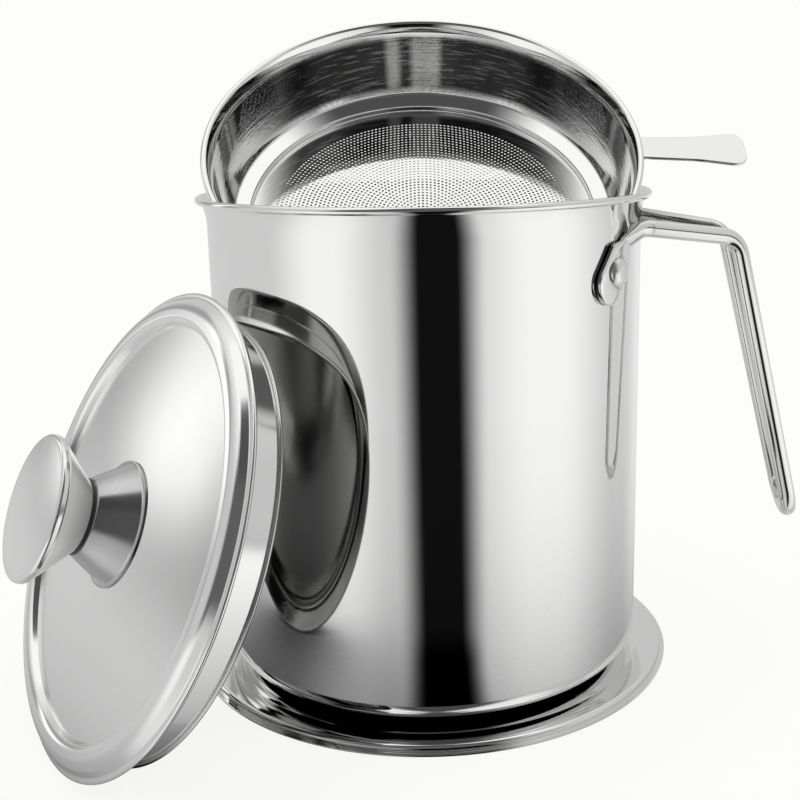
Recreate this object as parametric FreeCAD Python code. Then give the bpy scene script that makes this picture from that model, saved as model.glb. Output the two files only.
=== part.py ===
import FreeCAD, Part
import math
import os

from FreeCAD import Placement, Rotation, Vector

# Bacon grease container: a pot on a drip tray, a strainer tipped up in its
# mouth, and its lid leaned against the wall. Millimetres and degrees, +Z up.
# The origin is on the floor, in the middle of the tray's underside.

# Clearances
seat_gap = 0.3             # between pieces that lift apart
joint_gap = 0.05           # around rivets, welds and screws
tightest_bend = 0.05       # inside of a fold that is pressed shut
same_point = 1e-6          # points closer than this are one

# Drip tray: a raised seat, a channel around it, and a rim with a rolled hem
tray_height = 3.0          # floor to the rim's top
tray_margin = 10.2         # the hem stands out this far past the pot's wall
tray_sheet = 0.5
tray_seat_height = 3.3     # floor to the flat that carries the pot
tray_seat_radius = 46.0
tray_channel_height = 1.7
tray_channel_margin = 0.7  # the channel's flat ends this far past the pot's wall
tray_seat_step = 1.5       # run of the slope from the seat to the channel
tray_seat_bend = 0.8
tray_rim_bend = 3.0        # from the channel to the sloped rim
tray_edge_bend = 1.2
tray_hem = 0.65            # radius of the roll
tray_hem_flat = 0.6        # width of the flat that it stands on

# Pot
pot_radius = 66.8          # outside of the straight wall
pot_height = 145.9         # from the tray's seat to the top of the rim
pot_sheet = 0.6
pot_corner_bend = 7.0
pot_rim_reach = 3.2        # rim's edge past the wall
pot_rim_bead = 1.1         # radius of the curl
pot_flare_angle = 23.2
pot_flare_bend = 20.6

# Handle: one bent rod with its two ends beaten flat
handle_bearing = -6.5
rod_radius = 2.5
rod_stand_off = 0.9        # wall to the rod where it leaves the wall
handle_top_reach = 27.6    # wall to the middle of the rod at the top corner
handle_reach = 47.9        # and at the bottom
handle_start_drop = 9.9    # top of the rim to the rod where it leaves the wall
handle_top_drop = 14.0     # and at the top corner
handle_length = 87.6       # top corner to the bottom of the U, up and down
handle_start_spread = 47.8  # between the two sides of the rod: at the wall,
handle_top_spread = 25.8   # at the top corner
handle_spread = 17.4       # and at the bottom
handle_start_bend = 7.0
handle_top_bend = 7.5

# Pads, the handle's flat ends
pad_bearing = 32.0         # of the pad's middle, either side of the handle
pad_drop = 21.2            # top of the rim to the pad's middle
pad_length = 20.0
pad_width = 12.6
pad_neck_width = 5.2
pad_shoulder = 5.0         # from the neck to the full width
pad_shoulder_bend = 8.0
pad_sheet = 1.8
pad_slope = 51.0           # of the pad's long axis, below level
pad_gap = 0.15             # pad to wall
neck_thickness = 3.2       # rod's thickness halfway between pad and bend
bend_thickness = 4.2       # and in the middle of the bend
neck_overlap = 2.0         # how far the neck runs into the pad and the rod

# Rivets
rivet_shank_radius = 2.0
rivet_head_radius = 4.1
rivet_head_height = 1.9
rivet_crown_radius = 2.9   # flat top of the head before it is rounded off
rivet_crown_bend = 2.4
rivet_edge_height = 0.5
rivet_edge_bend = 0.6
rivet_tail_radius = 3.6
rivet_tail_height = 0.9
rivet_tail_bend = 0.4

# Strainer cup
cup_clearance = 2.0        # inside of the pot's wall to the inside of the cup's
cup_sheet = 0.5
cup_rim_reach = 3.0        # rim's edge past the inside of the cup's wall
cup_rim_bead = 1.0
cup_flare_angle = 26.0
cup_flare_bend = 16.0
cup_depth = 25.4           # top of the rim to the outer edge of the ledge
cup_taper = 3.8            # the wall narrows by this from top to ledge
cup_ledge_width = 4.8
cup_ledge_fall = 1.9
cup_step = 2.3             # ledge to the filter's seat
cup_seat_width = 5.2
cup_ledge_bend = 1.2
cup_step_bend = 0.6
strainer_tilt = 36.5       # dropped towards the front
strainer_lean = 1.0        # sideways
strainer_shift = -4.6      # middle of the rim, from the pot's axis along Y
filter_sheet = 0.5
filter_gap = 0.15

# Strainer tab, from the rim's edge outwards
tab_bearing = -1.9
tab_length = 31.3
tab_neck_length = 16.7
tab_root_width = 9.8
tab_neck_width = 11.2
tab_end_width = 16.0
tab_neck_bend = 30.0
tab_end_bend = 4.0
tab_sheet = 1.0

# Lid
lid_sheet = 0.5
lid_skirt_clearance = 1.2  # skirt's curl to the inside of the cup's wall at its top
lid_skirt_depth = 10.8     # middle of the lip to the end of the skirt
lid_skirt_curl = 0.8       # radius of the curl
lid_lip_reach = 4.5        # lip's edge past the skirt's curl
lid_lip_fold = 0.65        # radius of the folded edge
lid_lip_width = 1.6
lid_bead_width = 8.6
lid_bead_height = 3.25     # above the lip's top face
lid_crease_height = 0.85   # dome's foot, above the lip's top face
lid_bead_flank = 1.2       # run of the bead's inner flank
lid_bead_fall = 2.4        # run of its outer flank
lid_crease_bend = 0.8
lid_inner_bend = 2.2
lid_outer_bend = 4.0
lid_root_bend = 0.6
lid_crown = 1.5            # dome's middle above its foot
lid_bearing = 214.5        # of the lid's middle, seen from the pot's axis
lid_heading = 212.4        # where its knob points
lid_elevation = 23.3       # knob's axis above level

# Knob, up from the crown of the lid
knob_sheet = 0.8
knob_foot_radius = 17.7
knob_brim = 0.9
knob_foot_bend = 1.0
knob_neck_radius = 10.4
knob_neck_height = 10.9
knob_neck_bend = 1.0
knob_top_radius = 19.9
knob_top_height = 24.3
knob_edge_height = 2.0
knob_edge_bend = 0.9
ring_height = 1.2
ring_overhang = 0.5        # past the neck
ring_bend = 0.4
cap_border = 1.4           # body's edge around the cap
cap_sheet = 1.0
cap_crown = 0.5
insert_radius = 4.2
insert_height = 8.0
screw_radius = 2.0
screw_engagement = 6.0
screw_head_radius = 4.0
screw_head_height = 2.2
screw_head_bend = 1.2
washer_radius = 5.6
washer_sheet = 0.8

# Worked out from the above
pot_inner = pot_radius - pot_sheet
pot_top = tray_seat_height + pot_height
pot_rim_radius = pot_radius + pot_rim_reach
tray_radius = pot_radius + tray_margin
pad_level = pot_top - pad_drop
pad_face = pot_radius + pad_gap
cup_inner = pot_inner - cup_clearance
cup_rim_radius = cup_inner + cup_rim_reach
seat_radius = cup_inner - cup_taper - cup_ledge_width
seat_level = -cup_depth - cup_ledge_fall - cup_step
curl_radius = cup_inner - lid_skirt_clearance
lip_radius = curl_radius + lid_lip_reach
bead_outer = lip_radius - lid_lip_width
bead_inner = bead_outer - lid_bead_width
crease_level = lid_lip_fold + lid_crease_height
crown_level = crease_level + lid_crown
neck_level = crown_level + knob_neck_height
body_level = neck_level + ring_height
knob_top_level = crown_level + knob_top_height
screw_hole = screw_radius + joint_gap
washer_level = crown_level - lid_sheet - joint_gap - washer_sheet
up = Vector(0, 0, 1)


def rounded_route(points, bends):
    """Edges from the first point to the last: straight runs joined by tangent arcs."""
    edges = []
    start = points[0]
    for before, corner, after, bend in zip(points, points[1:], points[2:], bends):
        back = (before - corner).normalize()
        ahead = (after - corner).normalize()
        half = back.getAngle(ahead) / 2
        reach = bend / math.tan(half)
        first = corner + back * reach
        last = corner + ahead * reach
        middle = corner + (back + ahead).normalize() * (bend / math.sin(half) - bend)
        if (first - start).Length > same_point:
            edges.append(Part.makeLine(start, first))
        edges.append(Part.Arc(first, middle, last).toShape())
        start = last
    if (points[-1] - start).Length > same_point:
        edges.append(Part.makeLine(start, points[-1]))
    return edges


def right_of(start, end):
    """Unit vector to the right of the way from start to end, in the radius-height plane."""
    way = (end - start).normalize()
    return Vector(way.z, 0, -way.x)


def beside(points, bends, distance):
    """The same route, moved to its right by the distance."""
    sides = [right_of(start, end) for start, end in zip(points, points[1:])]
    moved = [points[0] + sides[0] * distance]
    moved_bends = []
    for point, bend, before, after in zip(points[1:], bends, sides, sides[1:]):
        moved.append(point + (before + after) * (distance / (1 + before.dot(after))))
        change = -distance if before.cross(after).y > 0 else distance
        moved_bends.append(max(bend + change, tightest_bend))
    moved.append(points[-1] + sides[-1] * distance)
    return moved, moved_bends


def turned_sheet(corners, thickness):
    """Sheet metal turned about Z. The corners (radius, height, bend) run along one of its
    faces, with the metal on their right."""
    points = [Vector(corner[0], 0, corner[1]) for corner in corners]
    bends = [corner[2] for corner in corners[1:-1]]
    other, other_bends = beside(points, bends, thickness)
    edges = rounded_route(points, bends)
    edges.append(Part.makeLine(points[-1], other[-1]))
    edges += rounded_route(other[::-1], other_bends[::-1])
    edges.append(Part.makeLine(other[0], points[0]))
    return Part.Face(Part.Wire(edges)).revolve(Vector(), up, 360)


def turned_solid(corners):
    """Solid turned about Z. Its outline (radius, height, bend) closes straight back from the
    last corner to the first."""
    points = [Vector(corner[0], 0, corner[1]) for corner in corners]
    edges = rounded_route(points, [corner[2] for corner in corners[1:-1]])
    edges.append(Part.makeLine(points[-1], points[0]))
    return Part.Face(Part.Wire(edges)).revolve(Vector(), up, 360)


def ring(inner, outer, bottom, height):
    """Flat ring about Z."""
    bore = Part.makeCylinder(inner, height, Vector(0, 0, bottom))
    return Part.makeCylinder(outer, height, Vector(0, 0, bottom)).cut(bore)


def flared_rim(wall_radius, edge_radius, top, bead, angle, bend):
    """Corners of a wall's inner face where it flares and curls outwards to its edge."""
    lean = math.radians(angle)
    touch_radius = edge_radius - bead - bead * math.cos(lean)
    touch_height = top - bead + bead * math.sin(lean)
    flare_height = touch_height - (touch_radius - wall_radius) / math.tan(lean)
    crest_radius = touch_radius + (top - touch_height) * math.tan(lean)
    return [
        (wall_radius, flare_height, bend),
        (crest_radius, top, bead),
        (edge_radius, top, bead),
        (edge_radius, top - 2 * bead, bead),
        (edge_radius - bead, top - 2 * bead),
    ]


def outward_hem(edge_radius, bottom, curl, flat, thickness):
    """Corners of a wall's outer face where its lower end curls outwards to its edge, with a
    flat stretch in the middle of the curl. The first one's radius is the wall's."""
    bend = max(curl - thickness, tightest_bend)
    inner_radius = edge_radius - thickness
    return [
        (inner_radius - 2 * bend - flat, bottom + thickness, bend),
        (inner_radius, bottom + thickness, bend),
        (inner_radius, bottom + thickness + bend),
    ]


def circle_points(place, radius, height):
    """Points around a circle about the Z axis of a placement."""
    angles = [math.radians(degree) for degree in range(360)]
    spots = [Vector(radius * math.cos(a), radius * math.sin(a), height) for a in angles]
    return [place.multVec(spot) for spot in spots]


# Drip tray

def drip_tray():
    hem = outward_hem(tray_radius, 0, tray_hem, tray_hem_flat, tray_sheet)
    channel_inner = tray_seat_radius + tray_seat_step
    corners = [
        (0, tray_seat_height),
        (tray_seat_radius, tray_seat_height, tray_seat_bend),
        (channel_inner, tray_channel_height, tray_seat_bend),
        (pot_radius + tray_channel_margin, tray_channel_height, tray_rim_bend),
        (hem[0][0], tray_height, tray_edge_bend),
    ]
    return turned_sheet(corners + hem, tray_sheet)


# Pot. It and its handle are made with the handle along +X.

def pot_rim():
    return flared_rim(
        pot_inner, pot_rim_radius, pot_top, pot_rim_bead, pot_flare_angle, pot_flare_bend
    )


def pad_place():
    """Frame on the pot's axis, level with the near pad's middle, whose +X points at it."""
    return Placement(Vector(0, 0, pad_level), Rotation(up, -pad_bearing))


def far_side(shape):
    return shape.mirror(Vector(), Vector(0, 1, 0))


def rivet_hole():
    hole = Part.makeCylinder(
        rivet_shank_radius + joint_gap, 2 * pot_radius, Vector(), Vector(1, 0, 0)
    )
    hole.Placement = pad_place()
    return hole


def pot_body():
    floor = tray_seat_height + pot_sheet
    corners = [(0, floor), (pot_inner, floor, pot_corner_bend - pot_sheet)] + pot_rim()
    pot = turned_sheet(corners, pot_sheet)
    return pot.cut([rivet_hole(), far_side(rivet_hole())]).Solids[0]


# Handle, worked out for its near side, which the far side mirrors

def pad_axes():
    """Along the pad towards its neck, across it, and outwards, in the pad's frame."""
    slope = math.radians(pad_slope)
    along = Vector(0, math.cos(slope), math.sin(slope))
    outwards = Vector(1, 0, 0)
    return along, outwards.cross(along), outwards


def pad_outline():
    """Leaf with its neck at +X and its round tip at -X."""
    neck_end = pad_length / 2
    half = pad_width / 2
    side = [
        Vector(neck_end, pad_neck_width / 2, 0),
        Vector(neck_end - pad_shoulder, half, 0),
        Vector(-neck_end, half, 0),
    ]
    points = side + [Vector(point.x, -point.y, 0) for point in side[::-1]]
    round_end = half - joint_gap
    edges = rounded_route(points, [pad_shoulder_bend, round_end, round_end, pad_shoulder_bend])
    edges.append(Part.makeLine(points[-1], points[0]))
    return Part.Wire(edges)


def pad():
    """Flattened end of the rod, bent to the wall and pierced for its rivet."""
    leaf = Part.Face(pad_outline()).extrude(Vector(0, 0, pad_face + 2 * pad_sheet))
    leaf.Placement = pad_place() * Placement(Vector(), Rotation(*pad_axes(), "ZXY"))
    around = ring(pad_face, pad_face + pad_sheet, tray_seat_height, pot_height)
    return leaf.common(around).cut(rivet_hole())


def pad_root():
    """Middle of the pad's neck, halfway through the metal, and the way along it."""
    along = pad_axes()[0]
    end = along * (pad_length / 2)
    end.x = math.sqrt((pad_face + pad_sheet / 2) ** 2 - end.y ** 2)
    return pad_place().multVec(end), pad_place().Rotation.multVec(along)


def rod_corners():
    """Corners of the near half of the rod, from the wall to the bottom of the U."""
    start_radius = pot_radius + rod_stand_off + rod_radius
    start_half = handle_start_spread / 2
    start_x = math.sqrt(start_radius ** 2 - start_half ** 2)
    top_level = pot_top - handle_top_drop
    return [
        Vector(start_x, -start_half, pot_top - handle_start_drop),
        Vector(pot_radius + handle_top_reach, -handle_top_spread / 2, top_level),
        Vector(pot_radius + handle_reach, -handle_spread / 2, top_level - handle_length),
    ]


def rod_start():
    """Where the straight top run begins, the middle of the bend before it, and its way."""
    corner, top = rod_corners()[:2]
    bend = rounded_route([pad_root()[0], corner, top], [handle_start_bend])[-2]
    run = (top - corner).normalize()
    return bend.valueAt(bend.LastParameter), bend.valueAt(sum(bend.ParameterRange) / 2), run


def section(middle, along, across, width, thickness):
    """Oval section of the rod, square to the way along it."""
    wide = (across - along * across.dot(along)).normalize()
    oval = Part.Wire(Part.Ellipse(Vector(), width / 2 + joint_gap / 10, thickness / 2).toShape())
    oval.Placement = Placement(middle, Rotation(wide, along.cross(wide), along, "ZXY"))
    return oval


def neck():
    """The rod flattening into its pad as it bends down along the wall."""
    root, along = pad_root()
    across = pad_place().Rotation.multVec(pad_axes()[1])
    corner = rod_corners()[0]
    start, middle, run = rod_start()
    rise = (corner - root).normalize()
    turn = (rise + run).normalize()
    full = 2 * rod_radius - joint_gap
    return Part.makeLoft([
        section(root - along * neck_overlap, along, across, pad_neck_width, pad_sheet - joint_gap),
        section((root + corner) / 2, rise, across, pad_neck_width, neck_thickness),
        section(middle, turn, across, pad_neck_width, bend_thickness),
        section(start, run, across, full, full),
        section(start + run * neck_overlap, run, across, full, full),
    ], True)


def rod():
    """Top runs, legs and the U that joins them."""
    start, middle, run = rod_start()
    near = [start] + rod_corners()[1:]
    points = near + [Vector(point.x, -point.y, point.z) for point in near[::-1]]
    u_bend = handle_spread / 2 - joint_gap
    path = Part.Wire(rounded_route(points, [handle_top_bend, u_bend, u_bend, handle_top_bend]))
    profile = Part.Wire(Part.makeCircle(rod_radius, start, run))
    return path.makePipeShell([profile], True, False)


def handle_rod():
    near_end = [pad(), neck()]
    return rod().multiFuse(near_end + [far_side(piece) for piece in near_end]).Solids[0]


# Rivet, made upright and laid along the near pad's radius

def handle_rivet():
    under_head = pad_face + pad_sheet
    top = under_head + rivet_head_height
    tail = pot_inner - rivet_tail_height
    head = turned_solid([
        (0, top),
        (rivet_crown_radius, top, rivet_crown_bend),
        (rivet_head_radius, under_head + rivet_edge_height, rivet_edge_bend),
        (rivet_head_radius, under_head - pad_sheet, joint_gap),
        (0, under_head - pad_sheet),
    ])
    tail_end = turned_solid([
        (0, tail),
        (rivet_tail_radius, tail, rivet_tail_bend),
        (rivet_tail_radius, pot_radius, joint_gap),
        (0, pot_radius),
    ])
    shank = Part.makeCylinder(rivet_shank_radius, under_head - tail, Vector(0, 0, tail))
    lying = Placement(Vector(), Rotation(up, Vector(1, 0, 0)))
    for piece in (head, tail_end, shank):
        piece.Placement = pad_place() * lying
    head = head.cut(Part.makeCylinder(under_head, pot_top))
    tail_end = tail_end.common(Part.makeCylinder(pot_inner, pot_top))
    return shank.fuse([head, tail_end]).Solids[0]


# Strainer, made about its own axis with the top of its rim at the origin

def strainer_place(height):
    tilt = math.radians(strainer_tilt)
    lean = math.radians(strainer_lean)
    axis = Vector(
        math.sin(lean), -math.sin(tilt) * math.cos(lean), math.cos(tilt) * math.cos(lean)
    )
    turn = Rotation(Vector(1, 0, 0), Vector(0, 1, 0), axis, "ZXY")
    return Placement(Vector(0, strainer_shift, height), turn)


def mouth_gap(point):
    """From a point to the inner face of the pot's wall and rim."""
    radius = math.hypot(point.x, point.y)
    corner_height = pot_rim()[0][1]
    flare_start = corner_height - pot_flare_bend * math.tan(math.radians(pot_flare_angle / 2))
    bead_radius = pot_rim_radius - pot_rim_bead
    bead = math.hypot(radius - bead_radius, point.z - pot_top + pot_rim_bead) - pot_rim_bead
    if point.z < flare_start:
        return min(bead, pot_inner - radius)
    flare = math.hypot(pot_inner + pot_flare_bend - radius, point.z - flare_start)
    return min(bead, flare - pot_flare_bend)


def strainer_height():
    """Lowest height at which the tilted rim still clears the pot's mouth."""
    low = pot_top
    high = pot_top + 2 * cup_rim_radius
    while high - low > joint_gap / 10:
        middle = (low + high) / 2
        rim = circle_points(strainer_place(middle), cup_rim_radius - cup_rim_bead, -cup_rim_bead)
        if min(mouth_gap(point) for point in rim) < cup_rim_bead + seat_gap:
            low = middle
        else:
            high = middle
    return high


def strainer_cup():
    ledge_radius = cup_inner - cup_taper
    corners = [
        (seat_radius - cup_seat_width, seat_level),
        (seat_radius, seat_level, cup_step_bend),
        (seat_radius, seat_level + cup_step, cup_step_bend),
        (ledge_radius, -cup_depth, cup_ledge_bend),
    ]
    corners += flared_rim(
        cup_inner, cup_rim_radius, 0, cup_rim_bead, cup_flare_angle, cup_flare_bend
    )
    return turned_sheet(corners, cup_sheet)


def strainer_filter():
    radius = seat_radius - cup_step_bend - filter_gap
    return Part.makeCylinder(radius, filter_sheet, Vector(0, 0, seat_level))


def strainer_tab():
    """Flat tab whose root is hollowed to fit the curl that it is welded to."""
    root = cup_rim_radius - cup_rim_bead
    side = [
        Vector(root, tab_root_width / 2, 0),
        Vector(cup_rim_radius + tab_neck_length, tab_neck_width / 2, 0),
        Vector(cup_rim_radius + tab_length, tab_end_width / 2, 0),
    ]
    points = side + [Vector(point.x, -point.y, 0) for point in side[::-1]]
    edges = rounded_route(points, [tab_neck_bend, tab_end_bend, tab_end_bend, tab_neck_bend])
    edges.append(Part.makeLine(points[-1], points[0]))
    tab = Part.Face(Part.Wire(edges)).extrude(Vector(0, 0, tab_sheet))
    tab.translate(Vector(0, 0, -cup_rim_bead - tab_sheet / 2))
    curl = Part.makeTorus(root, cup_rim_bead + joint_gap, Vector(0, 0, -cup_rim_bead))
    inside = Part.makeCylinder(root, 2 * tab_sheet, Vector(0, 0, -cup_rim_bead - tab_sheet))
    tab.rotate(Vector(), up, tab_bearing)
    return tab.cut([curl, inside]).Solids[0]


# Lid and knob, made about the knob's axis with the middle of the lip at the origin

def lid_height():
    """Height of the lip's middle when the lowest edge of the tilted lid is on the floor."""
    rise = math.radians(lid_elevation)
    lip = (lip_radius - lid_lip_fold) * math.cos(rise) + lid_lip_fold
    curl_middle = (curl_radius - lid_skirt_curl) * math.cos(rise)
    curl = curl_middle + (lid_skirt_depth - lid_skirt_curl) * math.sin(rise) + lid_skirt_curl
    return max(lip, curl)


def lid_place(distance):
    """Placement of the lid with its middle this far from the pot's axis."""
    bearing = math.radians(lid_bearing)
    heading = math.radians(lid_heading)
    rise = math.radians(lid_elevation)
    axis = Vector(
        math.cos(rise) * math.cos(heading), math.cos(rise) * math.sin(heading), math.sin(rise)
    )
    spot = Vector(distance * math.cos(bearing), distance * math.sin(bearing), lid_height())
    return Placement(spot, Rotation(Vector(1, 0, 0), up, axis, "ZYX"))


def lid_distance():
    """Distance at which the skirt's curl leans on the pot's wall."""
    wanted = pot_radius + seat_gap + lid_skirt_curl
    distance = pot_radius + lip_radius
    gap = distance
    while abs(gap) > joint_gap / 10:
        curl = circle_points(
            lid_place(distance), curl_radius - lid_skirt_curl, lid_skirt_curl - lid_skirt_depth
        )
        gap = min(math.hypot(point.x, point.y) for point in curl) - wanted
        distance -= gap
    return distance


def lid_shell():
    dome_half = bead_inner / 2
    dome_turn = math.atan2(lid_crown, dome_half)
    bead_level = lid_lip_fold + lid_bead_height
    hem = outward_hem(curl_radius, -lid_skirt_depth, lid_skirt_curl, 0, lid_sheet)
    corners = [
        (0, crown_level),
        (dome_half, crown_level, dome_half / math.tan(dome_turn / 2)),
        (bead_inner, crease_level, lid_crease_bend),
        (bead_inner + lid_bead_flank, bead_level, lid_inner_bend),
        (bead_outer - lid_bead_fall, bead_level, lid_outer_bend),
        (bead_outer, lid_lip_fold, lid_root_bend),
        (lip_radius, lid_lip_fold, lid_lip_fold),
        (lip_radius, -lid_lip_fold, lid_lip_fold),
        (hem[0][0], -lid_lip_fold, lid_root_bend),
    ]
    hole = Part.makeCylinder(screw_hole, 2 * crown_level, Vector(0, 0, -crown_level / 2))
    return turned_sheet(corners + hem, lid_sheet).cut(hole).Solids[0]


def knob_base():
    return turned_sheet([
        (screw_hole, neck_level),
        (knob_neck_radius, neck_level, knob_neck_bend),
        (knob_foot_radius - knob_brim, crown_level + knob_sheet, knob_foot_bend),
        (knob_foot_radius, crown_level + knob_sheet),
    ], knob_sheet)


def knob_ring():
    outer = knob_neck_radius + ring_overhang
    return turned_solid([
        (screw_hole, body_level),
        (outer, body_level, ring_bend),
        (outer, neck_level, ring_bend),
        (screw_hole, neck_level),
    ])


def knob_body():
    return turned_sheet([
        (knob_top_radius - cap_border, knob_top_level),
        (knob_top_radius, knob_top_level, knob_edge_bend),
        (knob_top_radius, knob_top_level - knob_edge_height, knob_edge_bend),
        (knob_neck_radius, body_level, knob_neck_bend),
        (screw_hole, body_level),
    ], knob_sheet)


def knob_cap():
    """Round plate in the body's opening, slightly domed."""
    edge = knob_top_radius - cap_border - joint_gap
    turn = math.atan2(cap_crown, edge / 2)
    return turned_sheet([
        (0, knob_top_level + cap_crown),
        (edge / 2, knob_top_level + cap_crown, edge / 2 / math.tan(turn / 2)),
        (edge, knob_top_level),
    ], cap_sheet)


def knob_insert():
    return ring(screw_hole, insert_radius, body_level + knob_sheet, insert_height)


def knob_screw():
    tip = body_level + knob_sheet + screw_engagement
    return turned_solid([
        (0, tip),
        (screw_radius, tip, screw_radius / 4),
        (screw_radius, washer_level, joint_gap),
        (screw_head_radius, washer_level, joint_gap),
        (screw_head_radius, washer_level - screw_head_height, screw_head_bend),
        (0, washer_level - screw_head_height),
    ])


def knob_washer():
    return ring(screw_hole, washer_radius, washer_level, washer_sheet)


# Every piece where it stands

def placed(shape, place):
    shape.Placement = place * shape.Placement
    return shape


def assembly():
    handle = Placement(Vector(), Rotation(up, handle_bearing))
    strainer = strainer_place(strainer_height())
    lid = lid_place(lid_distance())
    return {
        "drip_tray": drip_tray(),
        "pot_body": placed(pot_body(), handle),
        "handle_rod": placed(handle_rod(), handle),
        "handle_rivet_front": placed(handle_rivet(), handle),
        "handle_rivet_rear": placed(far_side(handle_rivet()), handle),
        "strainer_cup": placed(strainer_cup(), strainer),
        "strainer_filter": placed(strainer_filter(), strainer),
        "strainer_tab": placed(strainer_tab(), strainer),
        "lid_shell": placed(lid_shell(), lid),
        "knob_base": placed(knob_base(), lid),
        "knob_ring": placed(knob_ring(), lid),
        "knob_body": placed(knob_body(), lid),
        "knob_cap": placed(knob_cap(), lid),
        "knob_insert": placed(knob_insert(), lid),
        "knob_screw": placed(knob_screw(), lid),
        "knob_washer": placed(knob_washer(), lid),
    }


os.makedirs("parts", exist_ok=True)
for name, shape in assembly().items():
    shape.exportStep("parts/" + name + ".step")
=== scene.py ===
import math

import bmesh
import bpy
from mathutils import Matrix, Vector


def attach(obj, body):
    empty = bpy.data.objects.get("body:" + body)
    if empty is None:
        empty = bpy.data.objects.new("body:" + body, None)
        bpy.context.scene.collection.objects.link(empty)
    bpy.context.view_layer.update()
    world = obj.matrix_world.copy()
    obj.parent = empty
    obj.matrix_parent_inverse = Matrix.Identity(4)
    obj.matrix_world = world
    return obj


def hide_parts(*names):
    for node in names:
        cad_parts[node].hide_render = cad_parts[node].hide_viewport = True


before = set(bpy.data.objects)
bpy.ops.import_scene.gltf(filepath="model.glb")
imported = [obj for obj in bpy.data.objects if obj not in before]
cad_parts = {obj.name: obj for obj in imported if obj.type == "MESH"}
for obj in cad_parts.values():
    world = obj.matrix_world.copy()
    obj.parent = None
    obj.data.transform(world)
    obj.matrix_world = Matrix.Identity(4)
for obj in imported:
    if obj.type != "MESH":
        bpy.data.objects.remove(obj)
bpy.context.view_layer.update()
print("frame loaded")

mm = 0.001

lidPlace = {"middle": (-83.832, -57.616, 62.048), "heading": 212.4, "elevation": 23.3}
strainerPlace = {"middle": (0, -4.6, 164.13), "tilt": 36.5, "lean": 1.0}
handleBearing = -6.5

# Points this near each other count as one (millimetres)
together = {"corner": 0.001, "merge": 0.002, "ring": 0.003, "halves": 0.01}
# Bends stop this far short of the room they have, so that no two corners meet (millimetres)
short = {"bend": 0.001, "dome": 0.01}
smoothAngle = 40


# Modelling steps that every piece shares

def deselectAll():
    if bpy.context.mode != "OBJECT":
        bpy.ops.object.mode_set(mode="OBJECT")
    bpy.ops.object.select_all(action="DESELECT")


def selectOnly(piece):
    deselectAll()
    piece.select_set(True)
    bpy.context.view_layer.objects.active = piece


def pickVertices(piece, wanted):
    mesh = bmesh.from_edit_mesh(piece.data)
    for vertex in mesh.verts:
        vertex.select_set(wanted(vertex.co))
    mesh.select_flush_mode()
    bmesh.update_edit_mesh(piece.data)


def applyModifiers(piece):
    bpy.context.view_layer.objects.active = piece
    for modifier in list(piece.modifiers):
        bpy.ops.object.modifier_apply(modifier=modifier.name)


# Line through corners (across, up, bend) on the XZ plane, in millimetres
def drawOutline(name, corners, arcSteps):
    deselectAll()
    bpy.ops.mesh.primitive_plane_add(size=mm)
    piece = bpy.context.object
    piece.name = name
    bpy.ops.object.mode_set(mode="EDIT")
    bpy.ops.mesh.select_mode(type="VERT")
    bpy.ops.mesh.merge(type="CENTER")
    bpy.ops.transform.translate(value=(corners[0][0] * mm, 0, corners[0][1] * mm))
    for start, end in zip(corners, corners[1:]):
        step = ((end[0] - start[0]) * mm, 0, (end[1] - start[1]) * mm)
        bpy.ops.mesh.extrude_region_move(TRANSFORM_OT_translate={"value": step})
    for before, corner, after in zip(corners, corners[1:], corners[2:]):
        back = math.atan2(before[1] - corner[1], before[0] - corner[0])
        ahead = math.atan2(after[1] - corner[1], after[0] - corner[0])
        turn = abs((ahead - back + math.pi) % (2 * math.pi) - math.pi)
        place = Vector((corner[0] * mm, 0, corner[1] * mm))
        pickVertices(piece, lambda co: (co - place).length < together["corner"] * mm)
        bpy.ops.mesh.bevel(
            affect="VERTICES", offset_type="ABSOLUTE", segments=arcSteps, profile=0.5,
            offset=corner[2] / math.tan(turn / 2) * mm
        )
    return piece


def spinOutline(piece, faceInwards, steps):
    bpy.ops.mesh.select_all(action="SELECT")
    bpy.ops.mesh.spin(steps=steps, angle=2 * math.pi, center=(0, 0, 0), axis=(0, 0, 1))
    bpy.ops.mesh.select_all(action="SELECT")
    bpy.ops.mesh.remove_doubles(threshold=together["merge"] * mm)
    bpy.ops.mesh.normals_make_consistent(inside=faceInwards)
    bpy.ops.object.mode_set(mode="OBJECT")


def faceUp(piece):
    if piece.data.polygons[0].normal.z < 0:
        piece.data.flip_normals()


# Sheet grows to the back of its faces
def thicken(piece, sheet, even=False):
    wall = piece.modifiers.new("wall", "SOLIDIFY")
    wall.thickness = sheet * mm
    wall.offset = -1
    wall.use_even_offset = even


def spunShell(name, corners, sheet, faceInwards=False, arcSteps=10, steps=192):
    piece = drawOutline(name, corners, arcSteps)
    spinOutline(piece, faceInwards, steps)
    thicken(piece, sheet, even=True)
    applyModifiers(piece)
    return piece


def spunSolid(name, corners, arcSteps=6, steps=64):
    piece = drawOutline(name, corners, arcSteps)
    spinOutline(piece, False, steps)
    return piece


# Bend that rounds a corner into a flat dome: half is the run on each side of the corner
def domeBend(half, height):
    return half / math.tan(math.atan2(height, half) / 2) - short["dome"]


def placePiece(piece, place):
    selectOnly(piece)
    piece.matrix_world = place
    bpy.ops.object.transform_apply(location=True, rotation=True, scale=True)


def finishPiece(piece, material, body, node):
    selectOnly(piece)
    bpy.ops.object.shade_smooth_by_angle(angle=math.radians(smoothAngle))
    weights = piece.modifiers.new("even shading", "WEIGHTED_NORMAL")
    weights.keep_sharp = True
    applyModifiers(piece)
    piece.data.materials.clear()
    piece.data.materials.append(material)
    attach(piece, body)
    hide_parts(node)


# Place with these directions as its X, Y and Z
def placeOf(directions, middle):
    turn = Matrix(directions).transposed().to_4x4()
    return Matrix.Translation(Vector(middle) * mm) @ turn


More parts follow.
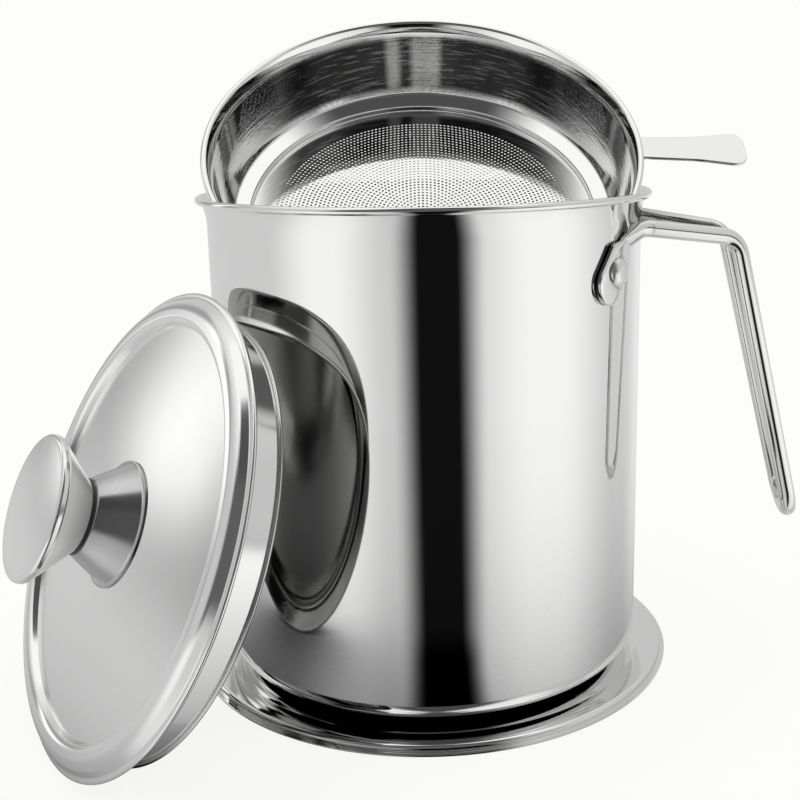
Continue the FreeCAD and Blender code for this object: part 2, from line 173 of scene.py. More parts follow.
# Z points along the lid's axis and X stays level
def lidMatrix():
    rise = math.radians(lidPlace["elevation"])
    heading = math.radians(lidPlace["heading"])
    axis = Vector((
        math.cos(rise) * math.cos(heading), math.cos(rise) * math.sin(heading), math.sin(rise)
    )).normalized()
    level = Vector((0, 0, 1)).cross(axis).normalized()
    return placeOf((level, axis.cross(level), axis), lidPlace["middle"])


def strainerMatrix():
    tilt = math.radians(strainerPlace["tilt"])
    lean = math.radians(strainerPlace["lean"])
    axis = Vector((
        math.sin(lean), -math.sin(tilt) * math.cos(lean), math.cos(tilt) * math.cos(lean)
    ))
    ahead = axis.cross(Vector((1, 0, 0))).normalized()
    return placeOf((ahead.cross(axis), ahead, axis), strainerPlace["middle"])


def handleMatrix():
    return Matrix.Rotation(math.radians(handleBearing), 4, "Z")


# Materials

# Feeds a socket from another node's socket, or with a constant
def feed(tree, socket, value):
    if isinstance(value, bpy.types.NodeSocket):
        tree.links.new(value, socket)
    else:
        socket.default_value = value


def addNode(tree, kind, inputs=None, **settings):
    node = tree.nodes.new(kind)
    for key, value in settings.items():
        setattr(node, key, value)
    for key, value in (inputs or {}).items():
        feed(tree, node.inputs[key], value)
    return node


def combine(tree, operation, first, second=0):
    node = addNode(tree, "ShaderNodeMath", {0: first, 1: second}, operation=operation)
    return node.outputs["Value"]


def combineVectors(tree, operation, first, second=(0, 0, 0)):
    node = addNode(tree, "ShaderNodeVectorMath", {0: first, 1: second}, operation=operation)
    return node.outputs["Value" if operation in ("LENGTH", "DOT_PRODUCT") else "Vector"]


# The least share at the start and before it, 1 at the stop and past it
def softEdge(tree, value, start, stop, least=0):
    inputs = {"Value": value, "From Min": start, "From Max": stop, "To Min": least}
    node = addNode(tree, "ShaderNodeMapRange", inputs, interpolation_type="SMOOTHSTEP")
    return node.outputs["Result"]


# The value, less a share of itself where it is covered
def weaken(tree, value, cover, share=1):
    kept = combine(tree, "SUBTRACT", 1, combine(tree, "MULTIPLY", cover, share))
    return combine(tree, "MULTIPLY", value, kept)


def mixColours(tree, share, first, second):
    inputs = {0: share, 6: (*first, 1), 7: (*second, 1)}
    return addNode(tree, "ShaderNodeMix", inputs, data_type="RGBA").outputs[2]


def mixShaders(tree, share, first, second):
    return addNode(tree, "ShaderNodeMixShader", {0: share, 1: first, 2: second}).outputs["Shader"]


def addBump(tree, height, depth):
    inputs = {"Height": height, "Distance": depth * mm, "Strength": 1}
    return addNode(tree, "ShaderNodeBump", inputs).outputs["Normal"]


# Place on a surface as its piece sees it before it is laid in the scene
def ownPlace(tree, coordinates, lay):
    inputs = {
        "Vector": coordinates, "Location": lay.to_translation(), "Rotation": lay.to_euler(),
    }
    return addNode(tree, "ShaderNodeMapping", inputs, vector_type="TEXTURE").outputs["Vector"]


# Bearing of a place or direction, anticlockwise from X in radians, and its height
def bearingOf(tree, coordinates):
    parts = addNode(tree, "ShaderNodeSeparateXYZ", {"Vector": coordinates}).outputs
    return combine(tree, "ARCTAN2", parts["Y"], parts["X"]), parts["Z"]


def sideCover(tree, bearing, middle, halfWidth, edge):
    turn = combine(tree, "SUBTRACT", bearing, math.radians(middle))
    inputs = {0: turn, 1: math.pi, 2: -math.pi}
    wrapped = addNode(tree, "ShaderNodeMath", inputs, operation="WRAP").outputs["Value"]
    aside = combine(tree, "ABSOLUTE", wrapped)
    return softEdge(tree, aside, math.radians(halfWidth + edge), math.radians(halfWidth - edge))


def newMaterial(name):
    material = bpy.data.materials.new(name)
    material.use_nodes = True
    tree = material.node_tree
    return material, tree, tree.nodes["Principled BSDF"]


polish = {"smudgeDetail": 4, "smudgeRange": (0.35, 0.7), "rippleDetail": 1}


# Cloudy smudges in the gloss and a very shallow ripple in a polished sheet
def polishMarks():
    group = bpy.data.node_groups.new("polishMarks", "ShaderNodeTree")
    for name, direction, kind in (
        ("Coordinates", "INPUT", "NodeSocketVector"),
        ("Smudge Size", "INPUT", "NodeSocketFloat"),
        ("Least Roughness", "INPUT", "NodeSocketFloat"),
        ("Most Roughness", "INPUT", "NodeSocketFloat"),
        ("Ripple Size", "INPUT", "NodeSocketFloat"),
        ("Roughness", "OUTPUT", "NodeSocketFloat"),
        ("Ripple", "OUTPUT", "NodeSocketFloat"),
    ):
        group.interface.new_socket(name, in_out=direction, socket_type=kind)
    entry = addNode(group, "NodeGroupInput").outputs
    smudge = addNode(group, "ShaderNodeTexNoise", {
        "Vector": entry["Coordinates"], "Scale": entry["Smudge Size"],
        "Detail": polish["smudgeDetail"],
    })
    least, most = polish["smudgeRange"]
    spread = addNode(group, "ShaderNodeMapRange", {
        "Value": smudge.outputs["Fac"], "From Min": least, "From Max": most,
        "To Min": entry["Least Roughness"], "To Max": entry["Most Roughness"],
    })
    ripple = addNode(group, "ShaderNodeTexNoise", {
        "Vector": entry["Coordinates"], "Scale": entry["Ripple Size"],
        "Detail": polish["rippleDetail"],
    })
    addNode(group, "NodeGroupOutput", {
        "Roughness": spread.outputs["Result"], "Ripple": ripple.outputs["Fac"],
    })
    return group


marks = polishMarks()


def polishedSteel(name, look):
    material, tree, shader = newMaterial(name)
    wear = addNode(tree, "ShaderNodeGroup", {
        "Coordinates": addNode(tree, "ShaderNodeTexCoord").outputs["Object"],
        "Smudge Size": look["smudgeSize"],
        "Least Roughness": look["roughness"][0],
        "Most Roughness": look["roughness"][1],
        "Ripple Size": look["rippleSize"],
    }, node_tree=marks).outputs
    shader.inputs["Metallic"].default_value = 1
    shader.inputs["Base Color"].default_value = (*look["colour"], 1)
    feed(tree, shader.inputs["Roughness"], wear["Roughness"])
    feed(tree, shader.inputs["Normal"], addBump(tree, wear["Ripple"], look["ripple"]))
    # Painted shade in corners, for the looks that ask for it
    if "paintedShade" in look:
        addPaintedShade(tree, shader, look)
    return material


# Near-black colour of the painted shade, and the rays that measure it
paintedShade = {"colour": (0.02, 0.02, 0.02), "samples": 8}


# Painted shade: the base colour darkens towards near black in corners and where other parts are
# close, by how much of the sky the nearby geometry hides
def addPaintedShade(tree, shader, look):
    reach, depth = look["paintedShade"]
    corners = addNode(
        tree, "ShaderNodeAmbientOcclusion", {"Distance": reach * mm}, samples=paintedShade["samples"]
    )
    unshaded = combine(tree, "POWER", corners.outputs["AO"], depth)
    colour = mixColours(tree, unshaded, paintedShade["colour"], look["colour"])
    feed(tree, shader.inputs["Base Color"], colour)


# The handle's and the knob's looks carry painted shade in their corners: its reach in millimetres
# and its depth
steelLooks = {
    "potSteel": {
        "colour": (0.85, 0.85, 0.845), "roughness": (0.02, 0.06), "smudgeSize": 25,
        "rippleSize": 30, "ripple": 0.02,
    },
    "traySteel": {
        "colour": (0.85, 0.85, 0.845), "roughness": (0.03, 0.08), "smudgeSize": 25,
        "rippleSize": 40, "ripple": 0.02,
    },
    "handleSteel": {
        "colour": (0.85, 0.85, 0.845), "roughness": (0.05, 0.12), "smudgeSize": 60,
        "rippleSize": 90, "ripple": 0.02, "paintedShade": (30, 1.0),
    },
    "strainerSteel": {
        "colour": (0.85, 0.85, 0.845), "roughness": (0.03, 0.07), "smudgeSize": 30,
        "rippleSize": 60, "ripple": 0.05,
    },
    "knobSteel": {
        "colour": (0.85, 0.85, 0.845), "roughness": (0.14, 0.2), "smudgeSize": 60,
        "rippleSize": 60, "ripple": 0.005, "paintedShade": (20, 1.8),
    },
    "tabSteel": {
        "colour": (0.76, 0.76, 0.755), "roughness": (0.12, 0.2), "smudgeSize": 60,
        "rippleSize": 90, "ripple": 0.01,
    },
    "rivetSteel": {
        "colour": (0.85, 0.85, 0.845), "roughness": (0.26, 0.34), "smudgeSize": 200,
        "rippleSize": 300, "ripple": 0.01,
    },
    "screwSteel": {
        "colour": (0.6, 0.6, 0.59), "roughness": (0.18, 0.35), "smudgeSize": 200,
        "rippleSize": 400, "ripple": 0.02,
    },
}
steel = {name: polishedSteel(name, look) for name, look in steelLooks.items()}


# Painted dark reflection on the strainer's inner back wall, with lighter painted bars and
# streaks, and the drawn marks' bump
wallReflectionAndMarks = {
    "low": -23.5, "high": -4.5, "edge": 1.5, "inwards": (-10, -30),
    "back": (90, 56, 14), "colour": (0.05, 0.05, 0.05),
    "bars": ((99, 2, 1.5), (88.5, 4.5, 1.5)), "barShade": 0.45,
    "around": 110, "across": 1200, "detail": 3, "depth": 0.045,
    "paleStreak": (0.52, 0.66), "streakShade": 0.16,
}


# Where the strainer's wall faces its axis, between the ledge and the flare: where the painted
# dark reflection and the drawn marks go
def innerWallCover(tree, place, rise):
    low, high, edge = [wallReflectionAndMarks[key] * mm for key in ("low", "high", "edge")]
    above = softEdge(tree, rise, low - edge, low + edge)
    below = softEdge(tree, rise, high + edge, high - edge)
    middle = strainerMatrix().to_translation()
    outwards = combineVectors(tree, "SUBTRACT", place["Object"], middle)
    facing = combineVectors(tree, "DOT_PRODUCT", place["Normal"], outwards)
    start, stop = [value * mm for value in wallReflectionAndMarks["inwards"]]
    inside = softEdge(tree, facing, start, stop)
    return combine(tree, "MULTIPLY", inside, combine(tree, "MULTIPLY", above, below))


# Strainer wall: a painted dark reflection on the back of its inner face, lightened in two bars
# and in pale streaks of painted reflection, with fine drawn marks that run around it in the bump
def cupSteelWithPaintedReflection(name, look):
    material = polishedSteel(name, look)
    tree = material.node_tree
    shader = tree.nodes["Principled BSDF"]
    place = addNode(tree, "ShaderNodeTexCoord").outputs
    own = ownPlace(tree, place["Object"], strainerMatrix())
    bearing, rise = bearingOf(tree, own)
    wall = innerWallCover(tree, place, rise)
    # Painted dark reflection: the base colour goes towards near black at the back of the inner
    # wall
    paintedDark = combine(tree, "MULTIPLY", wall, sideCover(tree, bearing, *wallReflectionAndMarks["back"]))
    for bar in wallReflectionAndMarks["bars"]:
        paintedDark = weaken(tree, paintedDark, sideCover(tree, bearing, *bar), wallReflectionAndMarks["barShade"])
    stretch = (wallReflectionAndMarks["around"], wallReflectionAndMarks["around"], wallReflectionAndMarks["across"])
    streaks = addNode(tree, "ShaderNodeTexNoise", {
        "Vector": combineVectors(tree, "MULTIPLY", own, stretch), "Scale": 1,
        "Detail": wallReflectionAndMarks["detail"],
    }).outputs["Fac"]
    pale = softEdge(tree, streaks, *wallReflectionAndMarks["paleStreak"])
    paintedDark = weaken(tree, paintedDark, pale, wallReflectionAndMarks["streakShade"])
    colour = mixColours(tree, paintedDark, look["colour"], wallReflectionAndMarks["colour"])
    feed(tree, shader.inputs["Base Color"], colour)
    marked = combine(tree, "MULTIPLY", streaks, wall)
    feed(tree, shader.inputs["Normal"], addBump(tree, marked, wallReflectionAndMarks["depth"]))
    return material


steel["cupSteelWithPaintedReflection"] = cupSteelWithPaintedReflection("cupSteelWithPaintedReflection", steelLooks["strainerSteel"])


pressedLid = {
    "colour": (0.85, 0.85, 0.845), "roughness": (0.15, 0.19), "smudgeSize": 30,
    "rippleSize": 20, "ripple": 0.005, "satin": 56.5, "bright": 58.5, "brightShare": 0.75,
    # Base colour of the painted shade under the lid, and where it sets in
    "under": (-0.1, -0.4), "underside": (0.42, 0.42, 0.415),
}


# Lid: satin face, brighter bead and skirt, and painted shade on the inner face: its base colour
# is darker where it faces away from the lid's axis
def lidSteelWithPaintedShade(name):
    material = polishedSteel(name, pressedLid)
    tree = material.node_tree
    shader = tree.nodes["Principled BSDF"]
    place = addNode(tree, "ShaderNodeTexCoord").outputs
    own = ownPlace(tree, place["Object"], lidMatrix())
    radius = combineVectors(tree, "LENGTH", combineVectors(tree, "MULTIPLY", own, (1, 1, 0)))
    satin, bright = pressedLid["satin"] * mm, pressedLid["bright"] * mm
    face = softEdge(tree, radius, bright, satin, pressedLid["brightShare"])
    wear = shader.inputs["Roughness"].links[0].from_socket
    feed(tree, shader.inputs["Roughness"], combine(tree, "MULTIPLY", wear, face))
    # Painted shade: darker base colour where the lid faces away from its axis
    axis = lidMatrix().to_3x3() @ Vector((0, 0, 1))
    facing = combineVectors(tree, "DOT_PRODUCT", place["Normal"], axis)
    under = softEdge(tree, facing, *pressedLid["under"])
    colour = mixColours(tree, under, pressedLid["colour"], pressedLid["underside"])
    feed(tree, shader.inputs["Base Color"], colour)
    return material


steel["lidSteel"] = lidSteelWithPaintedShade("lidSteelWithPaintedShade")


plasticLook = {
    "grain": 900, "dark": (0.008, 0.008, 0.008), "pale": (0.02, 0.02, 0.02),
    "roughness": (0.35, 0.5),
}


def blackPlastic(name):
    material, tree, shader = newMaterial(name)
    grain = addNode(tree, "ShaderNodeTexNoise", {
        "Vector": addNode(tree, "ShaderNodeTexCoord").outputs["Object"],
        "Scale": plasticLook["grain"],
    }).outputs["Fac"]
    shade = addNode(tree, "ShaderNodeValToRGB", {"Fac": grain})
    shade.color_ramp.elements[0].color = (*plasticLook["dark"], 1)
    shade.color_ramp.elements[1].color = (*plasticLook["pale"], 1)
    least, most = plasticLook["roughness"]
    gloss = addNode(tree, "ShaderNodeMapRange", {"Value": grain, "To Min": least, "To Max": most})
    feed(tree, shader.inputs["Base Color"], shade.outputs["Color"])
    feed(tree, shader.inputs["Roughness"], gloss.outputs["Result"])
    return material


plastic = blackPlastic("knobPlastic")
print("materials made")


# Drip tray: a raised seat, a channel around it, and a rim with a rolled hem

tray = {
    "seatTop": 3.3, "seat": 46.0, "seatFoot": 47.5, "seatBend": 0.8, "channel": 1.7,
    "channelEdge": 67.5, "channelBend": 3.0, "top": 3.0, "wall": 75.6, "edgeBend": 1.2,
    "edge": 76.5, "hemLevel": 0.5, "hemBend": 0.15, "sheet": 0.5,
}


def makeTray():
    piece = spunShell("dripTray", [
        (0, tray["seatTop"]),
        (tray["seat"], tray["seatTop"], tray["seatBend"]),
        (tray["seatFoot"], tray["channel"], tray["seatBend"]),
        (tray["channelEdge"], tray["channel"], tray["channelBend"]),
        (tray["wall"], tray["top"], tray["edgeBend"]),
        (tray["wall"], tray["hemLevel"], tray["hemBend"]),
        (tray["edge"], tray["hemLevel"], tray["hemBend"]),
        (tray["edge"], tray["hemLevel"] + tray["hemBend"]),
    ], tray["sheet"], faceInwards=True)
    finishPiece(piece, steel["traySteel"], "tray", "drip_tray")


makeTray()


# Pot with a flared and curled rim

pot = {
    "floor": 3.9, "inner": 66.2, "cornerBend": 6.4, "flareLevel": 144.593, "flareBend": 20.6,
    "crest": 68.175, "top": 149.2, "rim": 70.0, "bead": 1.1, "sheet": 0.6,
}


def makePot():
    piece = spunShell("potShell", [
        (0, pot["floor"]),
        (pot["inner"], pot["floor"], pot["cornerBend"]),
        (pot["inner"], pot["flareLevel"], pot["flareBend"]),
        (pot["crest"], pot["top"], pot["bead"]),
        (pot["rim"], pot["top"], pot["bead"]),
        (pot["rim"], pot["top"] - 2 * pot["bead"], pot["bead"]),
        (pot["rim"] - pot["bead"], pot["top"] - 2 * pot["bead"]),
    ], pot["sheet"])
    placePiece(piece, handleMatrix())
    finishPiece(piece, steel["potSteel"], "pot", "pot_body")


makePot()
print("tray and pot made")


# Strainer: cup, sloped ledge, seat, perforated sheet and finger tab

cup = {
    "inner": 64.2, "flareLevel": -2.819, "flareBend": 16.0, "crest": 65.575, "rim": 67.2,
    "bead": 1.0, "ledgeOuter": 60.4, "depth": 25.4, "ledgeBend": 1.2, "stepRadius": 55.6,
    "ledgeInnerLevel": -27.3, "seatLevel": -29.6, "stepBend": 0.6, "seatInner": 50.4,
    "sheet": 0.5,
}


def makeCup():
    piece = spunShell("strainerCup", [
        (cup["seatInner"], cup["seatLevel"]),
        (cup["stepRadius"], cup["seatLevel"], cup["stepBend"]),
        (cup["stepRadius"], cup["ledgeInnerLevel"], cup["stepBend"]),
        (cup["ledgeOuter"], -cup["depth"], cup["ledgeBend"]),
        (cup["inner"], cup["flareLevel"], cup["flareBend"]),
        (cup["crest"], 0, cup["bead"]),
        (cup["rim"], 0, cup["bead"]),
        (cup["rim"], -2 * cup["bead"], cup["bead"]),
        (cup["rim"] - cup["bead"], -2 * cup["bead"]),
    ], cup["sheet"])
    placePiece(piece, strainerMatrix())
    finishPiece(piece, steel["cupSteelWithPaintedReflection"], "strainer", "strainer_cup")


net = {
    "radius": 54.85, "holed": 47.8, "row": 1.36, "pitch": 1.36, "hole": 0.42, "sides": 8,
    "border": 128, "sheet": 0.3,
}


# Round sheet with rings of holes, thickened
def makeFilter():
    deselectAll()
    sides, hole, row = net["sides"], net["hole"] * mm, net["row"]
    bpy.ops.mesh.primitive_circle_add(vertices=sides, radius=hole)
    piece = bpy.context.object
    piece.name = "strainerFilter"
    bpy.ops.object.mode_set(mode="EDIT")
    for ring in range(1, int(net["holed"] / row) + 1):
        holes = round(2 * math.pi * ring * row / net["pitch"])
        bpy.ops.mesh.select_all(action="DESELECT")
        bpy.ops.mesh.primitive_circle_add(
            vertices=sides, radius=hole, location=(0, ring * row * mm, 0)
        )
        bpy.ops.mesh.spin(
            steps=holes - 1, dupli=True, angle=2 * math.pi * (holes - 1) / holes,
            center=(0, 0, 0), axis=(0, 0, 1),
        )
    bpy.ops.mesh.primitive_circle_add(vertices=net["border"], radius=net["radius"] * mm)
    bpy.ops.mesh.select_all(action="SELECT")
    bpy.ops.mesh.fill(use_beauty=False)
    bpy.ops.mesh.normals_make_consistent(inside=False)
    bpy.ops.transform.translate(value=(0, 0, (cup["seatLevel"] + net["sheet"]) * mm))
    bpy.ops.object.mode_set(mode="OBJECT")
    faceUp(piece)
    thicken(piece, net["sheet"])
    applyModifiers(piece)
    placePiece(piece, strainerMatrix())
    finishPiece(piece, steel["strainerSteel"], "strainer", "strainer_filter")


tab = {
    "root": 66.4, "rootHalf": 4.9, "neck": 83.9, "neckHalf": 5.6, "end": 98.5, "endHalf": 8.0,
    "neckBend": 30.0, "endBend": 4.0, "sheet": 1.0, "edge": 0.25, "top": -0.5, "bearing": -1.9,
    "arcSteps": 12, "edgeSteps": 3,
}


# Drawn on the XZ plane, laid flat, thickened and softened at its edges
def makeTab():
    piece = drawOutline("strainerTab", [
        (tab["root"], tab["rootHalf"]),
        (tab["neck"], tab["neckHalf"], tab["neckBend"]),
        (tab["end"], tab["endHalf"], tab["endBend"]),
        (tab["end"], -tab["endHalf"], tab["endBend"]),
        (tab["neck"], -tab["neckHalf"], tab["neckBend"]),
        (tab["root"], -tab["rootHalf"]),
    ], tab["arcSteps"])
    bpy.ops.mesh.select_all(action="SELECT")
    bpy.ops.mesh.edge_face_add()
    bpy.ops.object.mode_set(mode="OBJECT")
    lay = Matrix.Rotation(math.radians(tab["bearing"]), 4, "Z")
    lay = lay @ Matrix.Translation((0, 0, tab["top"] * mm)) @ Matrix.Rotation(math.pi / 2, 4, "X")
    placePiece(piece, lay)
    faceUp(piece)
    thicken(piece, tab["sheet"])
    soft = piece.modifiers.new("soft edge", "BEVEL")
    soft.width = tab["edge"] * mm
    soft.segments = tab["edgeSteps"]
    soft.limit_method = "ANGLE"
    applyModifiers(piece)
    placePiece(piece, strainerMatrix())
    finishPiece(piece, steel["tabSteel"], "strainer", "strainer_tab")


makeCup()
makeFilter()
makeTab()
print("strainer made")


# Handle: half of a bent rod, flattened at its end into a leaf pad, then mirrored

handle = {
    "rod": 2.5, "start": (66.0, -23.9, 139.3), "startBend": 7.0,
    "top": (94.4, -12.9, 135.2), "topBend": 7.5, "bottom": (114.7, -8.7, 47.6), "uBend": 8.65,
    "padBearing": -32.0, "padLevel": 128.0, "padSlope": 51.0, "padMiddle": 67.85,
    "padHalfLength": 10.0, "padHalfWidth": 6.3, "padSheet": 1.8, "neckWidth": 5.2,
    "shoulder": 5.5, "tipHalf": 0.3, "waist": 0.2, "squareness": 0.45,
    "around": 28, "padSteps": 12, "bendSteps": 14,
}


# Point of the pad, bent round the pot: along it towards the neck, across it, outwards
def onPad(along, across, out):
    slope = math.radians(handle["padSlope"])
    tangent = along * math.cos(slope) - across * math.sin(slope)
    rise = along * math.sin(slope) + across * math.cos(slope)
    angle = math.radians(handle["padBearing"]) + tangent / handle["padMiddle"]
    radius = handle["padMiddle"] + out
    return Vector((
        radius * math.cos(angle), radius * math.sin(angle), handle["padLevel"] + rise
    ))


# Points along straight runs joined by arcs
def roundedPath(corners, bends, steps):
    points = [corners[0]]
    for before, corner, after, bend in zip(corners, corners[1:], corners[2:], bends):
        back = (before - corner).normalized()
        ahead = (after - corner).normalized()
        half = back.angle(ahead) / 2
        centre = corner + (back + ahead).normalized() * (bend / math.sin(half))
        first = corner + back * (bend / math.tan(half)) - centre
        sweep = math.pi - 2 * half
        axis = first.cross(corner - centre).normalized()
        for step in range(steps + 1):
            points.append(centre + Matrix.Rotation(sweep * step / steps, 3, axis) @ first)
    points.append(corners[-1])
    return points


# Places along the pad and half widths there, from its tip to its neck
def padRings():
    rings = []
    halfLength = handle["padHalfLength"]
    halfWidth = handle["padHalfWidth"]
    for step in range(handle["padSteps"] + 1):
        angle = math.pi / 2 * step / handle["padSteps"]
        along = -halfLength + halfWidth * (1 - math.cos(angle))
        rings.append((along, max(halfWidth * math.sin(angle), handle["tipHalf"])))
    rings.append((handle["waist"], halfWidth))
    shoulderStart = halfLength - handle["shoulder"]
    for step in range(handle["padSteps"] + 1):
        share = step / handle["padSteps"]
        ease = share * share * (3 - 2 * share)
        width = halfWidth + (handle["neckWidth"] / 2 - halfWidth) * ease
        rings.append((shoulderStart + (halfLength - shoulderStart) * share, width))
    return rings


# Point of a ring's section: an oval at roundness 1, squarer below it
def ovalPoint(turn, halfWidth, halfThickness, roundness):
    across = math.cos(turn)
    out = math.sin(turn)
    across = math.copysign(abs(across) ** roundness, across)
    out = math.copysign(abs(out) ** roundness, out)
    return halfWidth * across, halfThickness * out


def handleRings():
    around = handle["around"]
    turns = [2 * math.pi * step / around for step in range(around)]
    square = handle["squareness"]
    rings = []
    for along, halfWidth in padRings():
        flat = [ovalPoint(turn, halfWidth, handle["padSheet"] / 2, square) for turn in turns]
        rings.append([onPad(along, across, out) for across, out in flat])
    root = onPad(handle["padHalfLength"], 0, 0)
    side = (onPad(handle["padHalfLength"], 1, 0) - root).normalized()
    corners = [root] + [Vector(handle[key]) for key in ("start", "top", "bottom")]
    corners.append(Vector((corners[-1].x, 0, corners[-1].z)))
    bends = [handle["startBend"], handle["topBend"], handle["uBend"] - short["bend"]]
    path = roundedPath(corners, bends, handle["bendSteps"])
    lengths = [0]
    for start, end in zip(path, path[1:]):
        lengths.append(lengths[-1] + (end - start).length)
    neckEnd = lengths[handle["bendSteps"] + 1]
    for index, point in enumerate(path[1:], 1):
        following = path[min(index + 1, len(path) - 1)]
        way = (following - path[index - 1]).normalized()
        if index == len(path) - 1:
            way = Vector((0, 1, 0))
        side = (side - way * side.dot(way)).normalized()
        out = way.cross(side)
        share = min(lengths[index] / neckEnd, 1)
        halfWidth = handle["neckWidth"] / 2 + (handle["rod"] - handle["neckWidth"] / 2) * share
        halfThickness = handle["padSheet"] / 2 * (1 - share) + handle["rod"] * share
        roundness = square + (1 - square) * min(2 * share, 1)
        rings.append([
            point + side * across + out * rise for across, rise in
            (ovalPoint(turn, halfWidth, halfThickness, roundness) for turn in turns)
        ])
    return rings


def makeHandle():
    rings = handleRings()
    deselectAll()
    bpy.ops.mesh.primitive_grid_add(
        x_subdivisions=len(rings) - 1, y_subdivisions=handle["around"], size=1
    )
    piece = bpy.context.object
    piece.name = "handleRod"
    for vertex in piece.data.vertices:
        ring = round((vertex.co.x + 0.5) * (len(rings) - 1))
        turn = round((vertex.co.y + 0.5) * handle["around"]) % handle["around"]
        vertex.co = rings[ring][turn] * mm
    bpy.ops.object.mode_set(mode="EDIT")
    bpy.ops.mesh.select_all(action="SELECT")
    bpy.ops.mesh.remove_doubles(threshold=together["merge"] * mm)
    near = together["ring"] * mm
    pickVertices(piece, lambda co: any((co - tip * mm).length < near for tip in rings[0]))
    bpy.ops.mesh.edge_face_add()
    bpy.ops.mesh.select_all(action="SELECT")
    bpy.ops.mesh.normals_make_consistent(inside=False)
    bpy.ops.object.mode_set(mode="OBJECT")
    other = piece.modifiers.new("far half", "MIRROR")
    other.use_axis = (False, True, False)
    other.merge_threshold = together["halves"] * mm
    applyModifiers(piece)
    placePiece(piece, handleMatrix())
    finishPiece(piece, steel["handleSteel"], "pot", "handle_rod")


rivet = {
    "underHead": 68.75, "headHeight": 1.9, "crown": 2.9, "crownBend": 2.4, "head": 4.1,
    "edge": 0.5, "edgeBend": 0.6, "collar": 0.4, "shank": 2.0, "shankBend": 0.05,
    "shankEnd": 0.1, "tail": 3.6, "tailTop": -0.05, "tailTopBend": 0.02, "tailHeight": 0.9,
    "tailBend": 0.4,
}


# Turned upright with its head up, then laid along the pad's radius
def makeRivet(name, node, bearing):
    top = rivet["underHead"] + rivet["headHeight"]
    collar = rivet["underHead"] - rivet["collar"]
    tail = pot["inner"] - rivet["tailHeight"]
    piece = spunSolid(name, [
        (0, top),
        (rivet["crown"], top, rivet["crownBend"]),
        (rivet["head"], rivet["underHead"] + rivet["edge"], rivet["edgeBend"]),
        (rivet["head"], collar, rivet["shankBend"]),
        (rivet["shank"], collar, rivet["shankBend"]),
        (rivet["shank"], pot["inner"] + rivet["shankEnd"], rivet["shankBend"]),
        (rivet["tail"], pot["inner"] + rivet["tailTop"], rivet["tailTopBend"]),
        (rivet["tail"], tail, rivet["tailBend"]),
        (0, tail),
    ])
    lay = Matrix.Rotation(math.radians(handleBearing + bearing), 4, "Z")
    lay = lay @ Matrix.Translation((0, 0, handle["padLevel"] * mm))
    placePiece(piece, lay @ Matrix.Rotation(math.pi / 2, 4, "Y"))
    finishPiece(piece, steel["rivetSteel"], "pot", node)


makeHandle()
makeRivet("handleRivetFront", "handle_rivet_front", handle["padBearing"])
makeRivet("handleRivetRear", "handle_rivet_rear", -handle["padBearing"])
print("handle made")


# Lid: dome, half-round bead, folded lip and skirt

lid = {
    "crown": 3.0, "domeHalf": 28.65, "crease": 57.3, "creaseLevel": 1.5, "creaseBend": 0.8,
    "beadInner": 58.5, "beadLevel": 3.9, "innerBend": 2.2, "beadOuter": 63.5, "outerBend": 4.0,
    "bead": 65.9, "fold": 0.65, "rootBend": 0.6, "lip": 67.5, "skirt": 61.9, "depth": 10.8,
    "edge": 62.5, "curlBend": 0.3, "sheet": 0.5,
}


def makeLid():
    dome = domeBend(lid["domeHalf"], lid["crown"] - lid["creaseLevel"])
    foldBend = lid["fold"] - short["bend"]
    hemLevel, hemBend = lid["sheet"] - lid["depth"], lid["curlBend"] - short["bend"]
    piece = spunShell("lidShell", [
        (0, lid["crown"]),
        (lid["domeHalf"], lid["crown"], dome),
        (lid["crease"], lid["creaseLevel"], lid["creaseBend"]),
        (lid["beadInner"], lid["beadLevel"], lid["innerBend"]),
        (lid["beadOuter"], lid["beadLevel"], lid["outerBend"]),
        (lid["bead"], lid["fold"], lid["rootBend"]),
        (lid["lip"], lid["fold"], foldBend),
        (lid["lip"], -lid["fold"], foldBend),
        (lid["skirt"], -lid["fold"], lid["rootBend"]),
        (lid["skirt"], hemLevel, hemBend),
        (lid["edge"], hemLevel, hemBend),
        (lid["edge"], hemLevel + lid["curlBend"]),
    ], lid["sheet"], arcSteps=12)
    placePiece(piece, lidMatrix())
    finishPiece(piece, steel["lidSteel"], "lid", "lid_shell")


makeLid()


# Knob: foot cone, black ring, top cone, round plate, and the screw that holds it

knob = {
    "sheet": 0.8, "foot": 17.7, "brim": 0.9, "footBend": 1.0, "neck": 10.4, "neckBend": 1.0,
    "neckLevel": 13.9, "ringTop": 15.1, "ring": 10.5, "ringBend": 0.3, "top": 19.9,
    "topLevel": 27.3, "edge": 2.0, "edgeBend": 0.9, "border": 1.4, "cap": 18.45,
    "capCrown": 0.5, "capSheet": 1.0, "screw": 2.0, "tip": 21.9, "screwBend": 0.5,
    "underWasher": 1.65, "washer": 5.6, "washerSheet": 0.8, "hole": 2.05, "insert": 4.2,
    "insertHeight": 8.0, "screwHead": 4.0, "screwHeadHeight": 2.2, "screwHeadBend": 1.2,
    "screwRootBend": 0.05,
}


